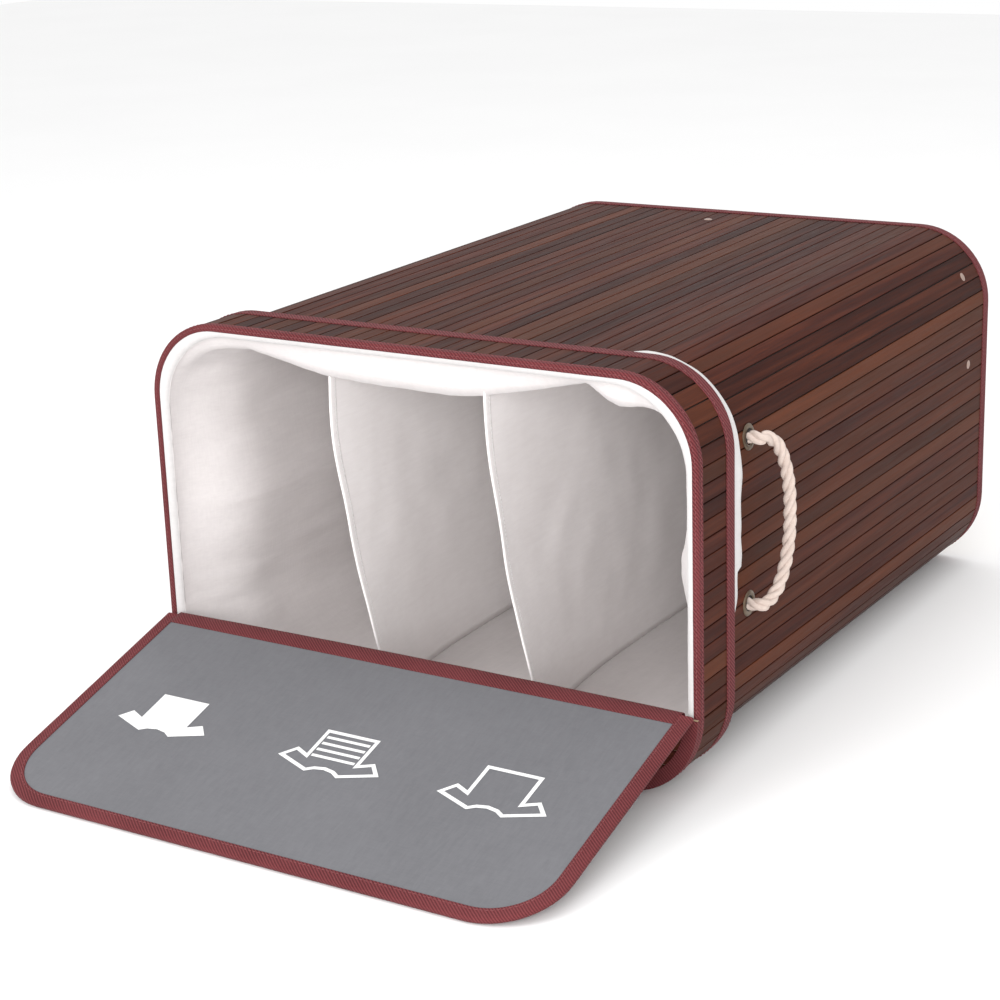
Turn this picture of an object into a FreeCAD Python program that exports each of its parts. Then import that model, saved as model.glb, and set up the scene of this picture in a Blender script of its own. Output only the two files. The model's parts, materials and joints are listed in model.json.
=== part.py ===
import FreeCAD, Part
import Sketcher
import math, os

# Laundry hamper with a cap-like lid, lying on its back, mouth towards -Y.
# Sizes are in millimetres. Building frame: floor z = 0, x = 0 on the middle plane,
# y = 0 at the front of the lid's band. Each sub-part's Placement carries the shift
# that puts the middle of the whole length at y = 0.

os.makedirs("parts", exist_ok=True)
V = FreeCAD.Vector
doc = FreeCAD.newDocument("hamper")
dims = doc.addObject("Spreadsheet::Sheet", "dims")

SIZES = [
    ("shift_y", 201.34), ("mid_z", 172.0),
    ("mouth_y", 6.0), ("base_y", 656.5),
    ("mouth_width", 514.0), ("base_width", 508.0),
    ("mouth_depth", 330.0), ("base_depth", 342.4),
    ("wall_radius", 72.0), ("slat_thick", 2.0), ("skin_thick", 0.8), ("slat_gap", 1.2),
    ("bind_thick", 0.8), ("rim_bind_len", 12.0), ("base_bind_len", 14.0),
    ("hoop_y", 18.0), ("hoop_len", 10.0), ("hoop_thick", 0.9),
    ("board_y", 592.0), ("board_thick", 4.0), ("ring_len", 18.0), ("ring_thick", 10.0),
    ("rivet_y", 605.0), ("rivet_head", 4.2), ("rivet_x", -29.0), ("rivet_z", 46.0),
    ("eye_y", 105.0), ("eye_mid", 203.0), ("eye_half", 70.0), ("eye_bore", 6.6), ("eye_barrel", 7.6),
    ("eye_flange", 11.0), ("eye_flange_thick", 1.0), ("eye_hole", 7.8),
    ("rope_radius", 5.25), ("rope_axis_x", 267.6), ("knot_radius", 10.3),
    ("cloth", 0.7), ("bag_inset", 22.6), ("bag_narrow_y", 84.0), ("cuff_end_y", 75.0), ("bag_floor_y", 589.3),
    ("divider_thick", 0.9), ("divider_y", 20.0), ("divider_lean", 32.0),
    ("divider_left_x", -86.0), ("divider_right_x", 69.0),
    ("band_width", 530.0), ("band_depth", 344.0), ("band_radius", 70.0), ("band_len", 62.8),
    ("band_front_bind", 8.2), ("band_rear_bind", 14.0), ("stiff_thick", 0.8), ("lip_width", 5.7),
    ("hinge_y", -5.4), ("hinge_z", 71.5), ("open_angle", 106.195),
    ("flap_width", 525.5), ("flap_len", 257.3), ("flap_radius", 60.0),
    ("panel_lining", 0.4), ("panel_board", 1.6), ("panel_slat", 1.6), ("panel_bind", 0.6),
    ("panel_bind_width", 12.0), ("panel_pitch", 15.0),
]


class Size:
    """A length with the spreadsheet formula that gives it."""

    def __init__(self, v, f):
        self.v, self.f = v, f

    @staticmethod
    def of(o):
        return o if isinstance(o, Size) else Size(float(o), repr(float(o)))

    def __add__(self, o):
        o = Size.of(o)
        return Size(self.v + o.v, "(%s + %s)" % (self.f, o.f))

    def __sub__(self, o):
        o = Size.of(o)
        return Size(self.v - o.v, "(%s - %s)" % (self.f, o.f))

    def __mul__(self, o):
        o = Size.of(o)
        return Size(self.v * o.v, "(%s * %s)" % (self.f, o.f))

    def __truediv__(self, o):
        o = Size.of(o)
        return Size(self.v / o.v, "(%s / %s)" % (self.f, o.f))

    def __neg__(self):
        return Size(-self.v, "(0 - %s)" % self.f)

    __radd__ = __add__


S = {}
for i, (k, v) in enumerate(SIZES):
    dims.set("A%d" % (i + 1), k)
    dims.set("B%d" % (i + 1), repr(v))
    dims.setAlias("B%d" % (i + 1), k)
    S[k] = Size(v, "dims." + k)
doc.recompute()
ZERO = Size.of(0.0)
N = {}          # sub-parts by name


def place(o, base=None, rot=None):
    """Own Label and Placement: the frame shift, or the open flap's pose."""
    if rot is None:
        o.Placement = FreeCAD.Placement(V(0, -S["shift_y"].v, 0), FreeCAD.Rotation())
        o.setExpression(".Placement.Base.y", (-S["shift_y"]).f)
    else:
        o.Placement = FreeCAD.Placement(V(0, S["hinge_y"].v - S["shift_y"].v, S["hinge_z"].v), rot)
        o.setExpression(".Placement.Base.y", (S["hinge_y"] - S["shift_y"]).f)
        o.setExpression(".Placement.Base.z", S["hinge_z"].f)
        o.setExpression(".Placement.Rotation.Angle", S["open_angle"].f)


OPEN = FreeCAD.Rotation(V(1, 0, 0), S["open_angle"].v)


def body(name, rot=None):
    b = doc.addObject("PartDesign::Body", name)
    b.Label = name
    place(b, rot=rot)
    N[name] = b
    return b


def sketch(b, name, plane, off):
    s = b.newObject("Sketcher::SketchObject", name)
    pl = [f for f in b.Origin.OriginFeatures if f.Role == plane][0]
    s.AttachmentSupport = [(pl, "")]
    s.MapMode = "FlatFace"
    s.AttachmentOffset = FreeCAD.Placement(V(0, 0, off.v), FreeCAD.Rotation())
    s.setExpression(".AttachmentOffset.Base.z", off.f)
    return s


def fix(s, kind, args, size, name):
    c = s.addConstraint(Sketcher.Constraint(kind, *(list(args) + [size.v])))
    s.renameConstraint(c, name)
    s.setExpression("Constraints." + name, size.f)


def rounded(s, W, D, R, Z, tag):
    """Rounded rectangle centred on x = 0, at height Z."""
    w, d, r, z = W.v / 2, D.v / 2, R.v, Z.v
    g = s.GeometryCount

    def line(x0, y0, x1, y1):
        s.addGeometry(Part.LineSegment(V(x0, y0, 0), V(x1, y1, 0)), False)

    def arc(x, y, a):
        s.addGeometry(Part.ArcOfCircle(Part.Circle(V(x, y, 0), V(0, 0, 1), r), a, a + math.pi / 2), False)

    line(-w + r, z - d, w - r, z - d)
    arc(w - r, z - d + r, -math.pi / 2)
    line(w, z - d + r, w, z + d - r)
    arc(w - r, z + d - r, 0)
    line(w - r, z + d, -w + r, z + d)
    arc(-w + r, z + d - r, math.pi / 2)
    line(-w, z + d - r, -w, z - d + r)
    arc(-w + r, z - d + r, math.pi)
    for i in range(8):
        s.addConstraint(Sketcher.Constraint("Tangent", g + i, 2, g + (i + 1) % 8, 1))
    s.addConstraint(Sketcher.Constraint("Horizontal", g))
    s.addConstraint(Sketcher.Constraint("Horizontal", g + 4))
    s.addConstraint(Sketcher.Constraint("Vertical", g + 2))
    s.addConstraint(Sketcher.Constraint("Vertical", g + 6))
    for i in (1, 3, 5):
        s.addConstraint(Sketcher.Constraint("Equal", g + i, g + i + 2))
    fix(s, "Radius", [g + 1], R, tag + "_radius")
    fix(s, "DistanceX", [g + 6, 1, g + 2, 1], W, tag + "_width")
    fix(s, "DistanceX", [-1, 1, g + 2, 1], W / 2, tag + "_right")
    fix(s, "DistanceY", [g + 0, 1, g + 4, 1], D, tag + "_depth")
    fix(s, "DistanceY", [-1, 1, g + 4, 1], Z + D / 2, tag + "_top")


# ---- tapering wall: cross-section at a given y, grown by an offset ----
def section(y, off):
    t = (y - S["mouth_y"]) / (S["base_y"] - S["mouth_y"])
    W = S["mouth_width"] + (S["base_width"] - S["mouth_width"]) * t + off * 2
    D = S["mouth_depth"] + (S["base_depth"] - S["mouth_depth"]) * t + off * 2
    return W, D, S["wall_radius"] + off


def loft(b, y0, y1, off, cut=False):
    n = len(b.Group)
    ss = []
    for k, y in enumerate((y0, y1)):
        s = sketch(b, "%s_s%d_%d" % (b.Name, n, k), "XZ_Plane", -y)
        W, D, R = section(y, off)
        rounded(s, W, D, R, S["mid_z"], "rim")
        ss.append(s)
    f = b.newObject("PartDesign::SubtractiveLoft" if cut else "PartDesign::AdditiveLoft",
                    "%s_f%d" % (b.Name, n))
    f.Profile = ss[0]
    f.Sections = [ss[1]]
    f.Ruled = True
    b.Tip = f
    return f


def pad(b, s, length, cut=False, rev=False):
    f = b.newObject("PartDesign::Pocket" if cut else "PartDesign::Pad", "%s_f%d" % (b.Name, len(b.Group)))
    f.Profile = s
    f.Length = length.v
    f.setExpression("Length", length.f)
    f.Reversed = rev
    b.Tip = f
    return f


def tube(name, y0, y1, W, D, R, t):
    b = body(name)
    s = sketch(b, name + "_s", "XZ_Plane", -y1)
    rounded(s, W, D, R, S["mid_z"], "outer")
    rounded(s, W - t * 2, D - t * 2, R - t, S["mid_z"], "inner")
    pad(b, s, y1 - y0)
    return b


def circles(s, pts, r):
    for i, (x, y) in enumerate(pts):
        s.addGeometry(Part.Circle(V(x.v, y.v, 0), V(0, 0, 1), r.v), False)
        fix(s, "Radius", [i], r, "round%d" % i)
        fix(s, "DistanceX", [-1, 1, i, 3], x, "px%d" % i)
        fix(s, "DistanceY", [-1, 1, i, 3], y, "py%d" % i)


def group(name, shapes, rot=None):
    """Many like pieces that share one name; the shape is set directly."""
    f = doc.addObject("Part::Feature", name)
    f.Label = name
    f.Shape = Part.makeCompound(shapes)
    place(f, rot=rot)
    N[name] = f
    return f


eye_pts = [(S["eye_y"], S["eye_mid"] + S["eye_half"]), (S["eye_y"], S["eye_mid"] - S["eye_half"])]
wall_in = -(S["slat_thick"] + S["skin_thick"])          # inside of the backing skin
slat_in = -S["slat_thick"]

# ---- body: backing skin ----
b = body("wall_backing")
y_end = S["base_y"] - S["bind_thick"]
loft(b, S["mouth_y"], y_end, slat_in)
loft(b, S["mouth_y"], y_end, wall_in, cut=True)
s = sketch(b, "eye_holes", "YZ_Plane", S["mouth_width"])
circles(s, eye_pts, S["eye_hole"])
pad(b, s, S["mouth_width"] * 2, cut=True)


def prism(p, q):
    """Solid between two four-cornered ends."""
    faces = [Part.Face(Part.makePolygon(list(p) + [p[0]])), Part.Face(Part.makePolygon(list(q) + [q[0]]))]
    for i in range(4):
        j = (i + 1) % 4
        faces.append(Part.Face(Part.makePolygon([p[i], p[j], q[j], q[i], p[i]])))
    sol = Part.makeSolid(Part.makeShell(faces))
    if sol.Volume < 0:
        sol.reverse()
    return sol


def strip_ring(y0, y1, sec, nf, ns, nc):
    """Slats round a rounded rectangle; sec(y) gives width, depth and radius."""
    gap, th, zc = S["slat_gap"].v, S["slat_thick"].v, S["mid_z"].v
    out = {"front": [], "back": [], "left": [], "right": [], "corners": []}

    def quads(y):
        W, D, r = [q.v for q in sec(Size.of(y), ZERO)]
        w, d = W / 2, D / 2
        o = {k: [] for k in out}
        for i in range(nf):
            a = -w + r + (2 * w - 2 * r) * i / nf + gap / 2
            e = -w + r + (2 * w - 2 * r) * (i + 1) / nf - gap / 2
            o["front"].append([V(a, y, zc + d), V(e, y, zc + d), V(e, y, zc + d - th), V(a, y, zc + d - th)])
            o["back"].append([V(a, y, zc - d), V(e, y, zc - d), V(e, y, zc - d + th), V(a, y, zc - d + th)])
        for i in range(ns):
            a = zc - d + r + (2 * d - 2 * r) * i / ns + gap / 2
            e = zc - d + r + (2 * d - 2 * r) * (i + 1) / ns - gap / 2
            o["right"].append([V(w, y, a), V(w, y, e), V(w - th, y, e), V(w - th, y, a)])
            o["left"].append([V(-w, y, a), V(-w, y, e), V(-w + th, y, e), V(-w + th, y, a)])
        pitch = math.pi / 2 / nc
        half = (r - th) * math.tan(pitch / 2) - gap / 2
        for sx in (1, -1):
            for sz in (1, -1):
                cx, cz = sx * (w - r), zc + sz * (d - r)
                for i in range(nc):
                    t = pitch * (i + 0.5)
                    u = V(sx * math.cos(t), 0, sz * math.sin(t))
                    v = V(-sx * math.sin(t), 0, sz * math.cos(t))
                    c = V(cx, y, cz)
                    ro = math.sqrt(r * r - half * half) - 0.02      # its edges stay inside the round
                    o["corners"].append([c + u * ro - v * half, c + u * ro + v * half,
                                         c + u * (r - th) + v * half, c + u * (r - th) - v * half])
        return o

    A, B = quads(y0), quads(y1)
    for k in out:
        out[k] = [prism(p, q) for p, q in zip(A[k], B[k])]
    return out


wall = strip_ring(S["mouth_y"].v, y_end.v, section, 25, 13, 8)
holes = []
for sx in (1, -1):
    for (yy, zz) in eye_pts:
        holes.append(Part.makeCylinder(S["eye_hole"].v, 40, V(sx * 240, yy.v, zz.v), V(sx, 0, 0)))
for k in ("left", "right", "corners"):
    cutters = [c for c in holes if k == "corners" or (c.BoundBox.Center.x > 0) == (k == "right")]
    done = []
    for sol in wall[k]:
        for c in cutters:
            if sol.BoundBox.intersect(c.BoundBox):
                sol = sol.cut(c)
        done += sol.Solids
    wall[k] = done
for k in ("front", "back", "left", "right", "corners"):
    group("wall_slats_" + k, wall[k])

# ---- body: bindings, hoop, base ----


def binding(name, y0, y1, closed_at_low):
    b = body(name)
    t = S["bind_thick"]
    loft(b, y0, y1, t)
    if closed_at_low:
        loft(b, y0 + t, y1, ZERO, cut=True)
    else:
        loft(b, y0, y1 - t, ZERO, cut=True)
    loft(b, y0, y1, wall_in)
    loft(b, y0, y1, wall_in - t, cut=True)
    return b


binding("rim_binding", S["mouth_y"] - S["bind_thick"], S["mouth_y"] - S["bind_thick"] + S["rim_bind_len"], True)
binding("base_binding", S["base_y"] - S["base_bind_len"], S["base_y"], False)

b = body("rim_hoop")
loft(b, S["hoop_y"], S["hoop_y"] + S["hoop_len"], wall_in)
loft(b, S["hoop_y"], S["hoop_y"] + S["hoop_len"], wall_in - S["hoop_thick"], cut=True)

b = body("base_board")
loft(b, S["board_y"], S["board_y"] + S["board_thick"], wall_in)
ring_y = S["board_y"] + S["board_thick"]
b = body("base_ring")
loft(b, ring_y, ring_y + S["ring_len"], wall_in)
loft(b, ring_y, ring_y + S["ring_len"], wall_in - S["ring_thick"], cut=True)

# rivets: domed heads outside, shanks through the wall into the ring
W, D, R = [q.v for q in section(S["rivet_y"], ZERO)]
ry, zc = S["rivet_y"].v, S["mid_z"].v
spots = []
for sx in (1, -1):
    spots.append((V(sx * W / 2, ry, zc + S["rivet_z"].v), V(sx, 0, 0)))
    t = math.pi / 2 / 8 * 2.5
    u = V(sx * math.cos(t), 0, math.sin(t))
    spots.append((V(sx * (W / 2 - R), ry, zc + D / 2 - R) + u * R, u))
for sz in (1, -1):
    spots.append((V(S["rivet_x"].v, ry, zc + sz * D / 2), V(0, 0, sz)))
rivets = []
hr = S["rivet_head"].v
for p, u in spots:
    rs = (hr * hr + 1.21) / 2.2
    ball = Part.makeSphere(rs, p - u * (rs - 1.1)).common(
        Part.makeCylinder(hr * 2, 3.0, p, u))
    rivets.append(ball.fuse(Part.makeCylinder(1.4, 9.0, p - u * 8.5, u)).removeSplitter())
group("base_rivets", rivets)

# ---- body: eyelets (barrel and outer flange; the lower ones, on the flat wall, have an inner flange too) ----
for side, sx in (("right", 1), ("left", -1)):
    for lvl, (yy, zz) in zip(("upper", "lower"), eye_pts):
        nm = "eyelet_%s_%s" % (side, lvl)
        W0 = section(S["eye_y"] - S["eye_flange"], ZERO)[0] / 2
        W1 = section(S["eye_y"] + S["eye_flange"], wall_in)[0] / 2
        b = body(nm)
        # rings drawn at their own x and padded along +X
        for k, (x0, ln, r1) in enumerate((
                (W1 - S["eye_flange_thick"], S["eye_flange_thick"], S["eye_flange"]),
                (W1 - 0.01, W0 - W1 + 0.02, S["eye_barrel"]),
                (W0, S["eye_flange_thick"], S["eye_flange"]))):
            if lvl == "upper" and k == 0:
                continue
            off = x0 if sx > 0 else -(x0 + ln)
            s = sketch(b, nm + "_s%d" % k, "YZ_Plane", off)
            s.addGeometry(Part.Circle(V(yy.v, zz.v, 0), V(0, 0, 1), r1.v), False)
            s.addGeometry(Part.Circle(V(yy.v, zz.v, 0), V(0, 0, 1), S["eye_bore"].v), False)
            for i, rr in enumerate((r1, S["eye_bore"])):
                fix(s, "Radius", [i], rr, "ring%d" % i)
                fix(s, "DistanceX", [-1, 1, i, 3], yy, "py%d" % i)
                fix(s, "DistanceY", [-1, 1, i, 3], zz, "pz%d" % i)
            pad(b, s, ln)

# ---- rope: knots and stubs held by the wall, and the swinging loop outside ----
wall_x = section(S["eye_y"], wall_in)[0] / 2
knot_x = wall_x - S["eye_flange_thick"] - S["knot_radius"] - 0.05
stub_end = S["rope_axis_x"] - S["rope_radius"] - 0.35
for side, sx in (("right", 1), ("left", -1)):
    for lvl, (yy, zz) in zip(("upper", "lower"), eye_pts):
        nm = "rope_end_%s_%s" % (side, lvl)
        ball = doc.addObject("Part::Sphere", nm + "_knot")
        ball.setExpression("Radius", S["knot_radius"].f)
        ball.Placement = FreeCAD.Placement(V(0, 0, 0), FreeCAD.Rotation(V(0, 0, 1), 180 if sx > 0 else 0))
        ball.setExpression(".Placement.Base.x", (knot_x * sx).f)
        ball.setExpression(".Placement.Base.y", yy.f)
        ball.setExpression(".Placement.Base.z", zz.f)
        stub = doc.addObject("Part::Cylinder", nm + "_stub")
        stub.Placement = FreeCAD.Placement(V(0, 0, 0), FreeCAD.Rotation(V(0, 1, 0), 90))
        stub.setExpression("Radius", S["rope_radius"].f)
        stub.setExpression("Height", (stub_end - knot_x).f)
        stub.setExpression(".Placement.Base.x", (knot_x if sx > 0 else -stub_end).f)
        stub.setExpression(".Placement.Base.y", yy.f)
        stub.setExpression(".Placement.Base.z", zz.f)
        fu = doc.addObject("Part::MultiFuse", nm)
        fu.Shapes = [ball, stub]
        fu.Label = nm
        place(fu)
        N[nm] = fu
    ax, hy, hz, rr = S["rope_axis_x"].v, S["eye_y"].v, S["eye_half"].v, S["rope_radius"].v
    dx, dy = 0.32, 0.947                     # the loop leans a little off the wall, towards the base
    zm = S["eye_mid"].v
    pts = []
    for a, q in ((0.0, 1.0), (8.0, 0.985), (19.0, 0.86), (27.5, 0.60), (32.0, 0.30), (33.0, 0.0)):
        pts.append((a, q))
    path = [V(sx * (ax + a * dx), hy + a * dy, zm + hz * q) for a, q in pts]
    path += [V(sx * (ax + a * dx), hy + a * dy, zm - hz * q) for a, q in reversed(pts[:-1])]
    cur = Part.BSplineCurve()
    cur.interpolate(path)
    normal = V(sx * dx, dy, 0).cross(V(0, 0, 1)).normalize()
    tan0 = cur.tangent(cur.FirstParameter)[0]
    rounds = []
    for i in range(25):
        t = cur.FirstParameter + (cur.LastParameter - cur.FirstParameter) * i / 24.0
        tan = cur.tangent(t)[0]
        turn = math.degrees(math.atan2(normal.dot(tan0.cross(tan)), tan0.dot(tan)))
        ring0 = Part.Wire(Part.makeCircle(rr, V(0, 0, 0), tan0))
        ring0.Placement = FreeCAD.Placement(cur.value(t), FreeCAD.Rotation(normal, turn)).multiply(ring0.Placement)
        rounds.append(ring0)
    sol = Part.makeLoft(rounds, True, False).Solids[0]
    for p in (path[0], path[-1]):
        sol = sol.fuse(Part.makeSphere(rr * 1.0005, p))
    f = doc.addObject("Part::Feature", "rope_" + side)
    f.Label = "rope_" + side
    f.Shape = sol.Solids[0] if len(sol.Solids) == 1 else sol
    place(f)
    N["rope_" + side] = f

# ---- liner: bag whose sides hang clear of the rope's knots, cuff over the rim, dividers ----
lin = wall_in - S["bind_thick"] - 0.2          # outside of the bag at the rim
bag_y = S["mouth_y"] - S["bind_thick"]
b = body("liner_bag")


def bag_loft(grow, y1, cut):
    ss = []
    for k, (y, inset) in enumerate(((bag_y, ZERO), (S["bag_narrow_y"], S["bag_inset"]), (y1, S["bag_inset"]))):
        s = sketch(b, "bag_s%d_%d" % (int(cut), k), "XZ_Plane", -y)
        W, D, R = section(y, lin + grow)
        rounded(s, W - inset * 2, D, R, S["mid_z"], "bag")
        ss.append(s)
    f = b.newObject("PartDesign::SubtractiveLoft" if cut else "PartDesign::AdditiveLoft", "bag_f%d" % int(cut))
    f.Profile = ss[0]
    f.Sections = ss[1:]
    f.Ruled = True
    b.Tip = f


bag_loft(ZERO, S["bag_floor_y"] + S["cloth"], False)
bag_loft(-S["cloth"], S["bag_floor_y"], True)

b = body("liner_cuff")
cuff_off = S["bind_thick"] + 0.2
loft(b, bag_y - S["cloth"], S["cuff_end_y"], cuff_off + S["cloth"])
loft(b, bag_y, S["cuff_end_y"], cuff_off, cut=True)
loft(b, bag_y - S["cloth"], bag_y, lin - S["cloth"], cut=True)

for nm, x0 in (("liner_divider_left", S["divider_left_x"]), ("liner_divider_right", S["divider_right_x"])):
    b = body(nm)
    ss = []
    for k, y in enumerate((S["divider_y"], S["bag_floor_y"])):
        half = section(y, lin - S["cloth"])[1] / 2
        s = sketch(b, nm + "_s%d" % k, "XZ_Plane", -y)
        t = S["divider_thick"]
        cor = [(x0 + S["divider_lean"], S["mid_z"] - half), (x0 + S["divider_lean"] + t, S["mid_z"] - half),
               (x0 + t, S["mid_z"] + half), (x0, S["mid_z"] + half)]
        for i in range(4):
            (xa, za), (xb, zb) = cor[i], cor[(i + 1) % 4]
            s.addGeometry(Part.LineSegment(V(xa.v, za.v, 0), V(xb.v, zb.v, 0)), False)
        for i in range(4):
            s.addConstraint(Sketcher.Constraint("Coincident", i, 2, (i + 1) % 4, 1))
        for i in range(4):
            fix(s, "DistanceX", [-1, 1, i, 1], cor[i][0], "cx%d" % i)
            fix(s, "DistanceY", [-1, 1, i, 1], cor[i][1], "cz%d" % i)
        ss.append(s)
    f = b.newObject("PartDesign::AdditiveLoft", nm + "_f")
    f.Profile = ss[0]
    f.Sections = [ss[1]]
    f.Ruled = True
    b.Tip = f

# ---- lid: band ----
bt, st, sk, stf = S["bind_thick"], S["slat_thick"], S["skin_thick"], S["stiff_thick"]
BW, BD, BR = S["band_width"], S["band_depth"], S["band_radius"]


def band(y, off):
    return BW - bt * 2 + off * 2, BD - bt * 2 + off * 2, BR - bt + off


ring = strip_ring(bt.v, (S["band_len"] - bt).v, band, 26, 14, 7)
for k in ("front", "back", "left", "right", "corners"):
    group("lid_slats_" + k, ring[k])
W, D, R = band(None, -st)
tube("lid_backing", bt, S["band_len"] - bt, W, D, R, sk)
W, D, R = band(None, -(st + sk))
tube("lid_stiffener", bt, S["band_len"] - bt, W, D, R, stf)

b = body("lid_front_binding")
s = sketch(b, "front_outer", "XZ_Plane", -S["band_front_bind"])
rounded(s, BW, BD, BR, S["mid_z"], "outer")
pad(b, s, S["band_front_bind"])
s = sketch(b, "front_seat", "XZ_Plane", -bt)
W, D, R = band(None, ZERO)
rounded(s, W, D, R, S["mid_z"], "seat")
pad(b, s, S["band_front_bind"] - bt, cut=True)
s = sketch(b, "front_mouth", "XZ_Plane", ZERO)
L = S["lip_width"]
rounded(s, BW - L * 2, BD - L * 2, BR - L, S["mid_z"], "mouth")
pad(b, s, S["band_front_bind"], cut=True)

b = body("lid_rear_binding")
s = sketch(b, "rear_outer", "XZ_Plane", -S["band_len"])
rounded(s, BW, BD, BR, S["mid_z"], "outer")
pad(b, s, S["band_rear_bind"])
s = sketch(b, "rear_seat", "XZ_Plane", -(S["band_len"] - S["band_rear_bind"]))
W, D, R = band(None, ZERO)
rounded(s, W, D, R, S["mid_z"], "seat")
pad(b, s, S["band_rear_bind"] - bt, cut=True)
s = sketch(b, "rear_mouth", "XZ_Plane", -(S["band_len"] - S["band_rear_bind"]))
W, D, R = band(None, -(st + sk + stf))
rounded(s, W, D, R, S["mid_z"], "mouth")
pad(b, s, S["band_rear_bind"], cut=True)

# ---- lid: fixed strip below the hinge, and the flap ----


def apron(s, W, R, z_far, z_near, tag):
    """Straight side at z_near, rounded corners at z_far, centred on x = 0."""
    w, r, zf, zn = W.v / 2, R.v, z_far.v, z_near.v
    sg = 1 if zf > zn else -1
    g = s.GeometryCount
    s.addGeometry(Part.LineSegment(V(-w, zn, 0), V(w, zn, 0)), False)
    s.addGeometry(Part.LineSegment(V(w, zn, 0), V(w, zf - sg * r, 0)), False)
    if sg > 0:
        s.addGeometry(Part.ArcOfCircle(Part.Circle(V(w - r, zf - r, 0), V(0, 0, 1), r), 0, math.pi / 2), False)
        e1, s1 = 2, 1
    else:
        s.addGeometry(Part.ArcOfCircle(Part.Circle(V(w - r, zf + r, 0), V(0, 0, 1), r), -math.pi / 2, 0), False)
        e1, s1 = 1, 2
    s.addGeometry(Part.LineSegment(V(w - r, zf, 0), V(-w + r, zf, 0)), False)
    if sg > 0:
        s.addGeometry(Part.ArcOfCircle(Part.Circle(V(-w + r, zf - r, 0), V(0, 0, 1), r), math.pi / 2, math.pi), False)
    else:
        s.addGeometry(Part.ArcOfCircle(Part.Circle(V(-w + r, zf + r, 0), V(0, 0, 1), r), math.pi, 1.5 * math.pi), False)
    s.addGeometry(Part.LineSegment(V(-w, zf - sg * r, 0), V(-w, zn, 0)), False)
    C = Sketcher.Constraint
    s.addConstraint(C("Coincident", g, 2, g + 1, 1))
    s.addConstraint(C("Tangent", g + 1, 2, g + 2, s1))
    s.addConstraint(C("Tangent", g + 2, e1, g + 3, 1))
    s.addConstraint(C("Tangent", g + 3, 2, g + 4, s1))
    s.addConstraint(C("Tangent", g + 4, e1, g + 5, 1))
    s.addConstraint(C("Coincident", g + 5, 2, g, 1))
    s.addConstraint(C("Horizontal", g))
    s.addConstraint(C("Vertical", g + 1))
    s.addConstraint(C("Horizontal", g + 3))
    s.addConstraint(C("Vertical", g + 5))
    s.addConstraint(C("Equal", g + 2, g + 4))
    fix(s, "Radius", [g + 2], R, tag + "_radius")
    fix(s, "DistanceX", [g, 1, g, 2], W, tag + "_width")
    fix(s, "DistanceX", [-1, 1, g, 2], W / 2, tag + "_right")
    if zn >= 0:
        fix(s, "DistanceY", [-1, 1, g, 1], z_near, tag + "_near")
    fix(s, "DistanceY", [-1, 1, g + 3, 1], z_far, tag + "_far")


def layer(name, y0, t, W, R, far, near, rot=None):
    """Flat layer of the top panel from y0 to y0 + t."""
    b = body(name, rot)
    s = sketch(b, name + "_s", "XZ_Plane", -(y0 + t))
    apron(s, W, R, far, near, "edge")
    pad(b, s, t)
    return b


PB, PL, PC, PS = S["panel_bind"], S["panel_lining"], S["panel_board"], S["panel_slat"]
PW = S["panel_bind_width"]
GAP = Size.of(0.3)
strip_top = S["hinge_z"] - GAP
SW, SR = BW - PB * 2, BR - PB
layer("strip_lining", -PL, PL, SW, SR, PB, strip_top)
layer("strip_board", -(PL + PC), PC, SW, SR, PB, strip_top)
b = body("strip_binding")
tot = PL + PC + PS
s = sketch(b, "strip_outer", "XZ_Plane", ZERO)
apron(s, BW, BR, Size.of(0.001), strip_top, "outer")
pad(b, s, tot + PB)
s = sketch(b, "strip_seat", "XZ_Plane", tot)
apron(s, SW, SR, PB, strip_top + 5, "seat")
pad(b, s, tot, cut=True)
s = sketch(b, "strip_open", "XZ_Plane", tot + PB)
apron(s, BW - PW * 2, BR - PW, PW, strip_top + 5, "open")
pad(b, s, PB, cut=True)


def panel_slats(outline, z0, z1, n, y0, t):
    gap, out = 1.0, []
    pitch = (z1 - z0) / n
    for i in range(n):
        bx = Part.makeBox(600, t, pitch - gap, V(-300, y0, z0 + i * pitch + gap / 2))
        out += bx.common(outline).Solids
    return out


def outline_solid(W, R, far, near, y0, t):
    """The panel's outline as a block, to trim its slats."""
    w, r, sg = W / 2, R, (1 if far > near else -1)
    q = math.sqrt(0.5) * r
    P = [V(-w, y0, near), V(w, y0, near), V(w, y0, far - sg * r), V(w - r + q, y0, far - sg * (r - q)),
         V(w - r, y0, far), V(-w + r, y0, far), V(-w + r - q, y0, far - sg * (r - q)), V(-w, y0, far - sg * r)]
    e = [Part.LineSegment(P[0], P[1]).toShape(), Part.LineSegment(P[1], P[2]).toShape(),
         Part.Arc(P[2], P[3], P[4]).toShape(), Part.LineSegment(P[4], P[5]).toShape(),
         Part.Arc(P[5], P[6], P[7]).toShape(), Part.LineSegment(P[7], P[0]).toShape()]
    return Part.Face(Part.Wire(e)).extrude(V(0, t, 0))


o = outline_solid(SW.v - 0.04, SR.v, PB.v + 0.02, strip_top.v, -tot.v, PS.v)
group("strip_slats", panel_slats(o, PB.v, strip_top.v, 5, -tot.v, PS.v))
b = body("strip_hinge_tape")
s = sketch(b, "strip_tape_s", "XZ_Plane", -PL)
apron(s, BW - L * 2 - 2, Size.of(0.5), strip_top - 11.0, strip_top, "tape")
pad(b, s, PL)

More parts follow.
